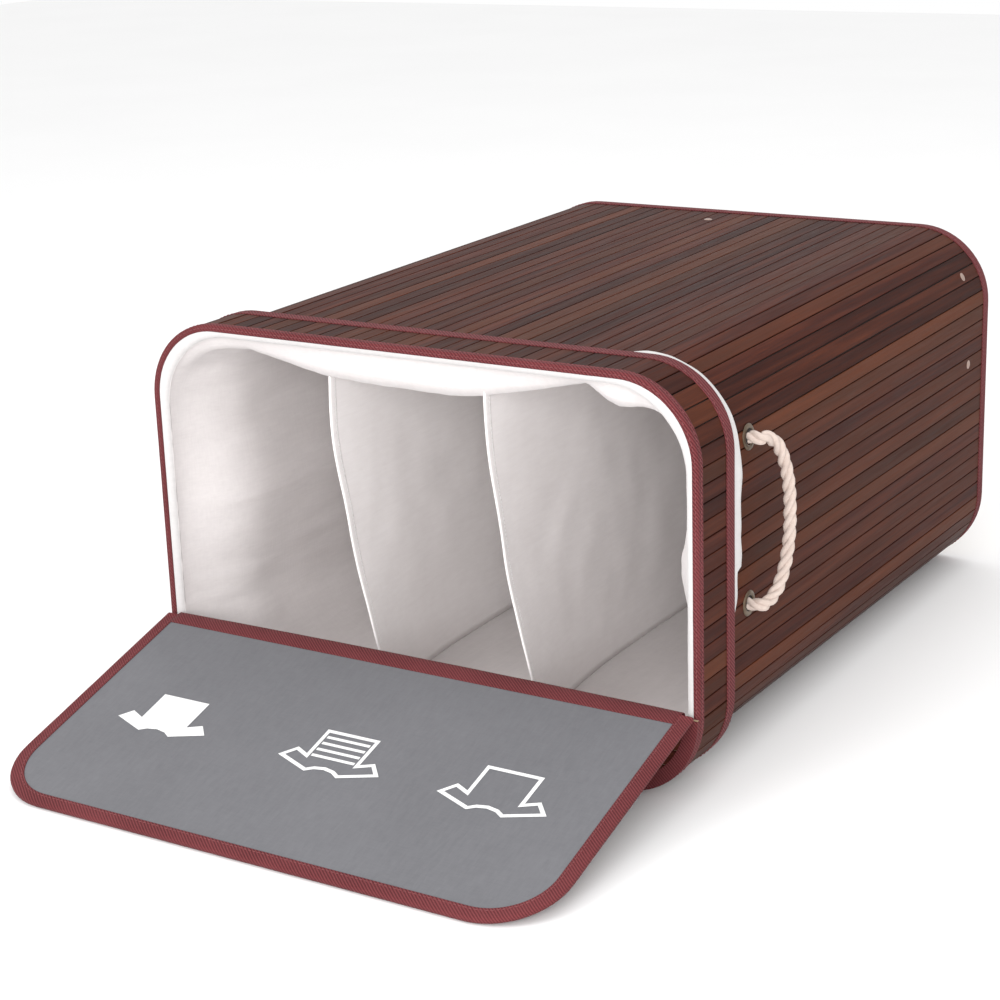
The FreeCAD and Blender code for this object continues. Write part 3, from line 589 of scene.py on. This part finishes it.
# flap slats, parallel to the hinge
verts, faces, tones = [], [], []
n_s, pitch = 17, (FL - 0.6 - 0.3) / 17
for i in range(n_s):
    c = 0.3 + pitch * (i + 0.5)
    wd = pitch - 1.0
    t = (float(0.12 + 0.62 * RNG.random()), float(RNG.random() ** 3), float(RNG.random()), 1.0)

    def half_w(s):
        w = FW / 2 - 0.6
        r = FR - 0.6
        if s <= FL - 0.6 - r:
            return w
        return w - r + math.sqrt(max(0.0, r * r - (s - (FL - 0.6 - r)) ** 2))

    base = len(verts)
    pr = [(a, 0.9 + d) for a, d in prof(wd, 1.6)]
    q = len(pr)
    for k in range(9):
        for a, n in pr:
            hw = half_w(c + a)
            verts.append(F(-hw + 2 * hw * k / 8, c + a, n))
            tones.append(t)
    for k in range(8):
        for j in range(q):
            a = base + k * q + j
            b = base + k * q + (j + 1) % q
            faces.append((a, b, b + q, a + q))
    faces.append(tuple(base + j for j in range(q)))
    faces.append(tuple(base + 8 * q + j for j in reversed(range(q))))
ob = mesh("slats_flap", verts, faces, MAT["slats_x"], False, None, {"tone": tones})
import bmesh
bm = bmesh.new()
bm.from_mesh(ob.data)
bmesh.ops.recalc_face_normals(bm, faces=bm.faces)
bm.to_mesh(ob.data)
bm.free()
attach(ob, "flap")
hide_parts("flap_slats")

# flap lining: cloth with a faint ripple, glued at its edges
nu, nv = 110, 60
verts = []
for i in range(nu):
    for j in range(nv):
        u = -1 + 2 * i / (nu - 1)
        s = 0.6 + (FL - 1.4) * j / (nv - 1)
        hw = min(FW / 2 - 0.8, (FW / 2 - 0.8 - 59.2 + math.sqrt(max(0.0, 59.2 ** 2 - max(0.0, s - (FL - 0.8 - 59.2)) ** 2))))
        x = u * hw
        e = 0.22 * (0.5 + 0.5 * noise.noise(Vector((x * 0.012, s * 0.022, 3.1)))) * min(1.0, min(1 - abs(u), (FL - 0.8 - s) / FL, s / 60.0) * 6)
        verts.append(F(x, s, 4.3 + max(0.0, e)))
ob = mesh("flap_lining_cloth", verts, grid_faces(nu, nv), MAT["lining"], True, "flap")
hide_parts("flap_lining")

# hinge tape over the hinge line, bowed a little in the middle
verts = []
nu = 90
prof_t = []
for i in range(nu):
    x = -252.0 + 504.0 * i / (nu - 1)
    bow = 1.6 * (1 - (x / 252.0) ** 2) + 0.25 * noise.noise(Vector((x * 0.03, 1, 1)))
    row = []
    for s in (12.0, 11.2, 8.0, 4.0, 1.5):
        a = Vector(F(x, s, 4.62 + (0.45 if s < 11.5 else 0.1)))
        a.z += bow / 1000 * max(0.0, 1 - s / 12.0)
        row.append(a)
    for yy, zz in ((-4.0, 76.3), (-2.6, 76.2), (-1.2, 75.3), (-0.1, 73.6), (0.5, 70.8), (0.75, 66.0), (0.65, 60.8), (0.3, 60.2)):
        a = Vector(P(x, yy, zz + bow * (1 if zz > 70 else 0.3)))
        row.append(a)
    verts += [tuple(v) for v in row]
nv = len(verts) // nu
n0 = len(verts)
# underside, 0.35 mm below
und = []
for i in range(nu):
    row = [Vector(v) for v in verts[i * nv:(i + 1) * nv]]
    for j in range(nv):
        a, b = row[max(0, j - 1)], row[min(nv - 1, j + 1)]
        t = (b - a).normalized()
        nrm = t.cross(Vector((1, 0, 0))).normalized()
        und.append(tuple(row[j] - nrm * 0.00035 * (-1 if nrm.z < 0 and j < nv // 2 else 1)))
verts += und
faces = grid_faces(nu, nv) + grid_faces(nu, nv, base=n0, flip=True)
for j in range(nv - 1):
    faces.append((j, j + 1, n0 + j + 1, n0 + j))
    k = (nu - 1) * nv
    faces.append((k + j + 1, k + j, n0 + k + j, n0 + k + j + 1))
for i in range(nu - 1):
    faces.append((i * nv, n0 + i * nv, n0 + (i + 1) * nv, (i + 1) * nv))
    faces.append(((i + 1) * nv + nv - 1, n0 + (i + 1) * nv + nv - 1, n0 + i * nv + nv - 1, i * nv + nv - 1))
tape = mesh("hinge_tape", verts, faces, MAT["binding"], True)
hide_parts("flap_hinge_tape", "strip_hinge_tape")
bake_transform(tape)


# pictograms on the lining: three shirts, drawn as thin raised ink
def shirt(cx, cs, w, h, kind, name):
    k = w / 2
    out = [(-0.34, 1.0), (-0.20, 0.84), (0.0, 0.77), (0.20, 0.84), (0.34, 1.0), (1.0, 0.55), (0.80, 0.12), (0.52, 0.36), (0.52, -1.0),
           (-0.52, -1.0), (-0.52, 0.36), (-0.80, 0.12), (-1.0, 0.55)]
    pts = [(cx + a * k, cs + b * h / 2) for a, b in out]
    cen = (cx, cs)
    n = 4.78
    verts, faces = [], []

    def poly(ps):
        b = len(verts)
        verts.extend(F(x, s, n) for x, s in ps)
        faces.append(tuple(range(b, b + len(ps))))

    def line(p, q, t):
        dx, ds = q[0] - p[0], q[1] - p[1]
        L = math.hypot(dx, ds)
        nx, ns = -ds / L * t / 2, dx / L * t / 2
        ex, es = dx / L * t / 2, ds / L * t / 2
        poly([(p[0] + nx - ex, p[1] + ns - es), (q[0] + nx + ex, q[1] + ns + es), (q[0] - nx + ex, q[1] - ns + es), (p[0] - nx - ex, p[1] - ns - es)])

    if kind == "solid":
        for idx in ((9, 8, 7, 10), (10, 7, 4, 3, 2, 1, 0), (4, 7, 6, 5), (0, 12, 11, 10)):
            poly([pts[i] for i in idx])
    else:
        # one mitred ring, so that no two pieces of the line lie on each other
        m = len(pts)
        sides = []
        for i in range(m):
            (ax, as_), (bx, bs), (qx, qs) = pts[i - 1], pts[i], pts[(i + 1) % m]
            l1, l2 = math.hypot(bx - ax, bs - as_), math.hypot(qx - bx, qs - bs)
            n1 = (-(bs - as_) / l1, (bx - ax) / l1)
            n2 = (-(qs - bs) / l2, (qx - bx) / l2)
            d = max(0.35, 1 + n1[0] * n2[0] + n1[1] * n2[1])
            mx, ms = (n1[0] + n2[0]) / d * 1.7, (n1[1] + n2[1]) / d * 1.7
            sides.append(((bx + mx, bs + ms), (bx - mx, bs - ms)))
        for i in range(m):
            a, b = sides[i], sides[(i + 1) % m]
            poly([a[0], b[0], b[1], a[1]])
        if kind == "stripes":
            for f in (-0.35, -0.19, -0.03, 0.13):
                line((cx - 0.42 * k, cs + f * h), (cx + 0.42 * k, cs + f * h), 3.0)
    return mesh(name, verts, faces, MAT["print"], False, "flap")


for nm, x, kind in (("mark_left", -163.0, "solid"), ("mark_middle", 8.0, "stripes"), ("mark_right", 160.0, "outline")):
    shirt(x, 127.0, 92.0, 48.0, kind, nm)

# ------------------------------------------------------------------ liner


def smooth(a, b, x):
    t = max(0.0, min(1.0, (x - a) / (b - a)))
    return t * t * (3 - 2 * t)


SX = [-252, -232, -200, -167, -130, -95, -50, -6, 30, 56, 95, 126, 161, 179, 192, 205, 225, 252]
SS = [2, 9, 12, 11, 18, 25, 28, 29, 29.5, 28, 20, 13, 5, 17, 21, 19, 10, 1]


def sag(x, y):
    s = float(np.interp(x, SX, SS))
    return s * smooth(4.4, 17, y) * (1 - 0.35 * smooth(60, 560, y))


def wall_in(y):
    W, D, r = sec(y, -3.9)
    return W, D, r


def perim(y, off, n_arc=22, n_flat=110, inset=0.0):
    W, D, r = sec(y, off)
    return rr_path(W - 2 * inset, D, r, n_arc, n_flat)


N_ARC, N_FLAT = 22, 110
ys = [4.6, 5.2, 6.5, 9, 12, 16, 21, 27, 34, 42, 52, 64, 76, 88, 96, 103, 110, 118, 130, 146, 165, 190, 215, 240, 265, 290, 315, 340, 365, 390,
      415, 440, 465, 490, 515, 540, 560, 575, 584, 588.4]
cols = []
for y in ys:
    st = perim(y, -3.95, N_ARC, N_FLAT, 22.7 * smooth(2, 84, y))
    row = []
    for x, z, nx, nz in st:
        d = 0.0
        depth = smooth(5, 60, y)
        # soft folds that run along the bag and fade at the rim
        f1 = noise.noise(Vector((x * 0.030, y * 0.0045, z * 0.030 + 3.0)))
        f2 = noise.noise(Vector((x * 0.085, y * 0.012, z * 0.085 + 9.0)))
        f3 = noise.noise(Vector((x * 0.02, y * 0.03, z * 0.02 + 19.0)))
        amp = 3.4 if abs(nx) > 0.5 else 2.2
        if nz < -0.5:
            amp = 1.6
        d += depth * amp * (0.55 + 0.6 * f1 + 0.28 * f2 + 0.3 * f3)
        d += 0.35 * (f2 + 0.4)
        if nz > 0.2:
            d += sag(x, y) * min(1.0, (nz - 0.2) / 0.8) + depth * 1.2 * f2
        # a pressed fold runs along each side wall, halfway up
        if abs(nx) > 0.5:
            zl = 171.0 - 0.02 * y + 2.5 * noise.noise(Vector((y * 0.02, 5.0, nx)))
            d += depth * 13.0 * max(0.0, 1 - abs(z - zl) / 88.0)
        d = max(0.0, d)
        row.append((x - nx * d, y, z - nz * d))
    cols.append(row)
# floor of the bag: shrink the last ring to the middle
last = cols[-1]
for f, yy in ((0.985, 589.0), (0.9, 589.3), (0.6, 589.2), (0.3, 589.0), (0.02, 589.1)):
    cols.append([(x * f, yy + 0.0, ZC + (z - ZC) * f) for x, y, z in last])
n_p = len(cols[0])
verts = [P(*p) for row in cols for p in row]
faces = grid_faces(len(cols), n_p, False, True)
bag = mesh("liner_bag_cloth", verts, faces, MAT["liner_side"], True)
so = bag.modifiers.new("thick", "SOLIDIFY")
so.thickness = 0.0006
so.offset = 0.0


def apply_mods(ob):
    dg = bpy.context.evaluated_depsgraph_get()
    me = bpy.data.meshes.new_from_object(ob.evaluated_get(dg))
    ob.modifiers.clear()
    ob.data = me
    return ob


apply_mods(bag)
for p in bag.data.polygons:
    p.use_smooth = True
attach(bag, "body")
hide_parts("liner_bag")


# dividers: limp sheets hung from the top of the bag, with a turned front hem
def divider(name, xt, lean_f, lean_b, node_name, seed):
    nu, nv = 64, 46
    verts = []
    for i in range(nu):
        for j in range(nv):
            t = j / (nv - 1)                       # 0 top, 1 bottom
            yf = 16.0 + 25.0 * smooth(0.0, 1.0, t) + 3.0 * math.sin(t * 5.2 + seed)
            s = (i / (nu - 1)) ** 1.25
            y = yf + (586.0 - yf) * s
            W, D, r = sec(y, -4.7)
            lean = lean_b + (lean_f - lean_b) * math.exp(-(y - 20.0) / 75.0)
            curve = 6.5 * math.sin(math.pi * t * 1.15 + 0.3) * math.exp(-(y - 15) / 160.0)
            x = xt + lean * (0.35 * t + 0.65 * t * t) - curve
            x += 5.0 * noise.noise(Vector((t * 2.2, y * 0.006, seed))) * math.sin(math.pi * min(1, t * 1.02))
            x += 1.2 * noise.noise(Vector((t * 7.0, y * 0.03, seed + 4))) * math.sin(math.pi * min(1, t * 1.02))
            zt = ZC + D / 2 - sag(xt, y) + 1.5
            zb = ZC - D / 2 + 0.4
            z = zt + (zb - zt) * t
            verts.append(P(x, y, z))
    ob = mesh(name, verts, grid_faces(nu, nv), MAT["liner"], True)
    so = ob.modifiers.new("thick", "SOLIDIFY")
    so.thickness = 0.0009
    so.offset = 0.0
    apply_mods(ob)
    for p in ob.data.polygons:
        p.use_smooth = True
    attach(ob, "body")
    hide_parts(node_name)
    # turned hem along the front edge
    hv, hf = [], []
    for j in range(nv):
        a = Vector(verts[j])
        b = Vector(verts[nv * 3 + j])
        d = (b - a).normalized()
        sd = Vector((d.y, -d.x, 0)).normalized()
        for off, th in ((0.0, 0.0), (0.1, 0.75), (1.5, 0.95), (7.5, 0.9), (8.6, 0.55)):
            hv.append(a + d * (off - 0.7) * 0.001 + sd * th * 0.001)
        for off, th in ((8.6, 0.55), (7.5, 0.9), (1.5, 0.95), (0.1, 0.75)):
            hv.append(a + d * (off - 0.7) * 0.001 - sd * th * 0.001)
    hem = mesh(name + "_hem", hv, grid_faces(nv, 9, False, True), MAT["liner"], True, "body")
    line = []
    for j in range(nv):
        a = Vector(verts[j])
        b = Vector(verts[nv * 3 + j])
        d = (b - a).normalized()
        sd = Vector((d.y, -d.x, 0)).normalized()
        line.append((tuple(a + d * 0.0062 + sd * 0.00095), tuple(sd)))
    stitches(name + "_stitch", line, MAT["thread_white"], "body", 2.4, 1.2, 0.22)
    return verts, nv


divider("liner_divider_l", -86.0, 34.0, -6.0, "liner_divider_left", 1.7)
divider("liner_divider_r", 69.0, 36.0, -10.0, "liner_divider_right", 5.9)

# cuff: folds over the rim, hidden by the lid's band except where it creeps out
st = perim(5.0, 1.2, N_ARC, N_FLAT)
n_p = len(st)


def cuff_end(x, z, nx, nz):
    """How far back the cuff reaches: it shows past the band at the upper right."""
    if nx >= -0.01:
        ang = math.atan2(z - ZC, x)                # 0 at the right side's middle
        peek = 0.0
        if nz > 0.999:
            peek = 15.0 * smooth(158, 187, x)
        elif x > 150 and z > ZC:
            peek = 15.0 + 4.5 * (1 - nz)
        elif nx > 0.999:
            peek = 6.5 * smooth(74, 96, z) + 13.0 * smooth(104, 225, z)
        return 58.5 + peek + 1.2 * noise.noise(Vector((x * 0.02, z * 0.02, 2.0)))
    return 58.0 + 1.5 * noise.noise(Vector((x * 0.02, z * 0.02, 2.0)))


rows = []
# the turned edge swells forwards and outwards until it meets the inside of the lid's band
lip = rr_path(530.0 - 9.2, 344.0 - 9.2, 65.3, N_ARC, N_FLAT)
for (x, z, nx, nz), (lx, lz, lnx, lnz) in zip(st, lip):
    ye = cuff_end(x, z, nx, nz)
    row = [(5.6, -4.3, 0.0), (4.9, -4.15, 0.0), (3.7, -3.6, 0.0), (2.6, -2.5, 0.0), (1.75, -1.1, 0.05), (1.25, 0.2, 0.35), (1.05, 0.9, 0.8),
           (1.3, 1.2, 1.0), (2.6, 1.3, 1.0), (4.4, 1.42, 0.85), (6.4, 1.42, 0.4), (8.6, 1.42, 0.0)]
    for k in range(1, 13):
        y = 8.6 + (ye - 8.6) * k / 12
        puff = 5.2 * smooth(62.2, 68, y) * (0.85 + 0.3 * noise.noise(Vector((x * 0.05, y * 0.1, z * 0.05))))
        row.append((y, 1.42 + max(0.0, puff), 0.0))
    row.append((ye + 1.4, 1.2 + 5.0 * smooth(62.2, 68, ye) * 0.62, 0.0))
    row.append((ye + 1.2 - 0.9 * (1 - smooth(62.2, 68, ye)), 1.05, 0.0))
    pts = []
    for y, off, w in row:
        px, pz = x + nx * (off - 1.2), z + nz * (off - 1.2)
        pts.append((px + (lx - px) * w, y, pz + (lz - pz) * w))
    rows.append(pts)
nv = len(rows[0])
verts = [P(*p) for row in rows for p in row]
cuff = mesh("liner_cuff_cloth", verts, grid_faces(n_p, nv, True, False), MAT["cuff"], True)
so = cuff.modifiers.new("thick", "SOLIDIFY")
so.thickness = 0.0005
so.offset = 0.0
apply_mods(cuff)
for p in cuff.data.polygons:
    p.use_smooth = True
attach(cuff, "body")
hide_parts("liner_cuff")

# ------------------------------------------------------------------ rope handles
AX, HY, HM, HZ, RR = 267.6, 105.0, 203.0, 70.0, 5.25


def handle(side, sx):
    dx, dy = 0.32, 0.947
    pts = [(sx * (AX - 15.0), HY, HM + HZ), (sx * (AX - 8.0), HY, HM + HZ + 0.2)]
    for a, q in ((0.8, 1.0), (8.0, 0.985), (19.0, 0.86), (27.5, 0.60), (32.0, 0.30), (33.0, 0.0)):
        pts.append((sx * (AX + a * dx), HY + a * dy, HM + HZ * q))
    low = [(x, y, 2 * HM - z) for x, y, z in reversed(pts[:-1])]
    pts = pts + low
    # Catmull-Rom through the points
    fine = []
    Q = [Vector(p) for p in pts]
    Q = [Q[0] * 2 - Q[1]] + Q + [Q[-1] * 2 - Q[-2]]
    for i in range(1, len(Q) - 2):
        for k in range(16):
            t = k / 16
            a, b, c, d = Q[i - 1], Q[i], Q[i + 1], Q[i + 2]
            fine.append(0.5 * ((2 * b) + (-a + c) * t + (2 * a - 5 * b + 4 * c - d) * t * t + (-a + 3 * b - 3 * c + d) * t ** 3))
    fine.append(Q[-2])
    # even spacing
    cum = [0.0]
    for i in range(1, len(fine)):
        cum.append(cum[-1] + (fine[i] - fine[i - 1]).length)
    tot = cum[-1]
    n = 210
    path = []
    for i in range(n):
        s = tot * i / (n - 1)
        k = min(len(cum) - 2, int(np.searchsorted(cum, s, "right")) - 1)
        f = (s - cum[k]) / max(1e-9, cum[k + 1] - cum[k])
        path.append(fine[k].lerp(fine[k + 1], f))
    # frames by parallel transport
    T = [(path[min(n - 1, i + 1)] - path[max(0, i - 1)]).normalized() for i in range(n)]
    Nn = [T[0].cross(Vector((0, 1, 0.3))).normalized()]
    for i in range(1, n):
        v = Nn[-1] - T[i] * Nn[-1].dot(T[i])
        Nn.append(v.normalized())
    verts, faces = [], []
    strands, rs, ro = 3, 2.95, 2.5
    lay = 34.0                                       # one full twist per 34 mm
    m = 16
    for k in range(strands):
        base = len(verts)
        for i in range(n):
            s = tot * i / (n - 1)
            an = 2 * math.pi * (k / strands + s / lay)
            B = T[i].cross(Nn[i])
            c = path[i] + Nn[i] * (math.cos(an) * ro) + B * (math.sin(an) * ro)
            r1 = Nn[i] * math.cos(an) + B * math.sin(an)
            r2 = T[i].cross(r1)
            for j in range(m):
                b = 2 * math.pi * j / m
                # fine yarns within each strand
                rad = rs * (1 + 0.035 * math.cos(7 * b - 2 * math.pi * s / 7.0))
                p = c + r1 * (math.cos(b) * rad) + r2 * (math.sin(b) * rad)
                verts.append(P(*p))
        faces += grid_faces(n, m, False, True, base)
        faces.append(tuple(base + j for j in range(m)))
        faces.append(tuple(base + (n - 1) * m + j for j in reversed(range(m))))
    ob = mesh("rope_handle_" + side, verts, faces, MAT["rope"], True)
    # knots inside the wall
    kv, kf = [], []
    for zk in (HM + HZ, HM - HZ):
        base = len(kv)
        cx = sx * 242.2
        nk, mk = 90, 9
        loop = []
        for i in range(nk):
            a = 2 * math.pi * i / nk
            loop.append(Vector((cx + sx * 3.4 * -math.sin(3 * a), HY + 2.05 * (math.sin(a) + 2 * math.sin(2 * a)) * 0.95,
                                zk + 2.05 * (math.cos(a) - 2 * math.cos(2 * a)) * 0.95)))
        for i in range(nk):
            t = (loop[(i + 1) % nk] - loop[i - 1]).normalized()
            a1 = t.cross(Vector((1, 0.13, 0.07))).normalized()
            a2 = t.cross(a1)
            for j in range(mk):
                b = 2 * math.pi * j / mk
                kv.append(P(*(loop[i] + a1 * math.cos(b) * 3.6 + a2 * math.sin(b) * 3.6)))
        kf += grid_faces(nk, mk, True, True, base)
        # short stub from the knot to the wall
        base = len(kv)
        for i in range(5):
            for j in range(12):
                b = 2 * math.pi * j / 12
                kv.append(P(sx * (243.0 + 10.5 * i / 4), HY + 5.0 * math.cos(b), zk + 5.0 * math.sin(b)))
        kf += grid_faces(5, 12, False, True, base)
    kn = mesh("rope_knots_" + side, kv, kf, MAT["rope"], True, "body")
    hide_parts("rope_end_%s_upper" % side, "rope_end_%s_lower" % side)
    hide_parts("rope_" + side)
    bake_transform(ob)
    # eyelets
    for lvl, zk in (("upper", HM + HZ), ("lower", HM - HZ)):
        W0 = sec(105.0, 0.0)[0] / 2
        pr = [(6.6, W0 - 1.4), (6.6, W0 + 0.6), (7.0, W0 + 0.95), (7.8, W0 + 1.12), (9.4, W0 + 0.95), (10.6, W0 + 0.45), (11.0, W0 + 0.08), (10.6, W0 + 0.05),
              (8.0, W0 + 0.02), (7.6, W0 - 1.4), (7.6, W0 - 3.0), (10.6, W0 - 3.0), (10.9, W0 - 3.4), (10.4, W0 - 3.75), (7.2, W0 - 3.7), (6.6, W0 - 3.2)]
        ev = []
        m2 = 48
        for j in range(m2):
            b = 2 * math.pi * j / m2
            for rr, xx in pr:
                # the upper ring leans with the start of the wall's curve
                lean = -0.10 * rr * math.sin(b) - 0.35 if lvl == "upper" else 0.0
                ev.append(P(sx * (xx + lean), HY + rr * math.cos(b), zk + rr * math.sin(b)))
        eo = mesh("eyelet_ring_%s_%s" % (side, lvl), ev, grid_faces(m2, len(pr), True, True, flip=sx > 0), MAT["eyelets"], True, "body")
        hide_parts("eyelet_%s_%s" % (side, lvl))
        dv = [P(sx * (W0 + 0.15), HY + 6.7 * math.cos(2 * math.pi * j / 32), zk + 6.7 * math.sin(2 * math.pi * j / 32)) for j in range(32)]
        do = mesh("eyelet_shadow_%s_%s" % (side, lvl), dv, [tuple(range(32)) if sx > 0 else tuple(reversed(range(32)))], MAT["dark"], False, "body")


handle("right", 1)
handle("left", -1)

# ------------------------------------------------------------------ floor and light
floor = mesh("floor", [(-6, -6, 0), (6, -6, 0), (6, 6, 0), (-6, 6, 0)], [(0, 1, 2, 3)])
fm, fnt, fb = nt_new("floor_white")
v = coords(fnt, (1, 1, 1))
nn = tex_noise(fnt, v, 2.0, 2.0)
fnt.links.new(ramp(fnt, nn, [(0.2, (0.905, 0.905, 0.905)), (0.8, (0.925, 0.925, 0.925))]), fb.inputs["Base Color"])
fb.inputs["Roughness"].default_value = 0.9
fb.inputs["Specular IOR Level"].default_value = 0.05
floor.data.materials.append(fm)
floor.location.z = -0.0004

w = bpy.data.worlds.new("studio")
w.use_nodes = True
bg = w.node_tree.nodes["Background"]
bg.inputs["Color"].default_value = (1, 1, 1, 1)
bg.inputs["Strength"].default_value = 1.0
bpy.context.scene.world = w


def area(name, loc, target, size, power):
    ld = bpy.data.lights.new(name, "AREA")
    ld.shape = "RECTANGLE"
    ld.size = size[0]
    ld.size_y = size[1]
    ld.energy = power
    lo = bpy.data.objects.new(name, ld)
    bpy.context.scene.collection.objects.link(lo)
    d = Vector(target) - Vector(loc)
    lo.matrix_world = Matrix.Translation(loc) @ d.to_track_quat("-Z", "Y").to_matrix().to_4x4()
    return lo


area("key", (-1.0, -2.2, 1.9), (0, -0.1, 0.15), (1.6, 1.4), 17)
area("fill", (0.9, -2.4, 0.9), (-0.05, 0.1, 0.17), (1.4, 1.0), 40)
area("side", (2.6, -0.2, 1.5), (0, 0.1, 0.15), (1.6, 1.2), 2.5)
area("top", (0.2, 0.4, 2.8), (0, 0.1, 0.0), (2.2, 2.2), 17)
bpy.context.scene.view_settings.view_transform = "Standard"
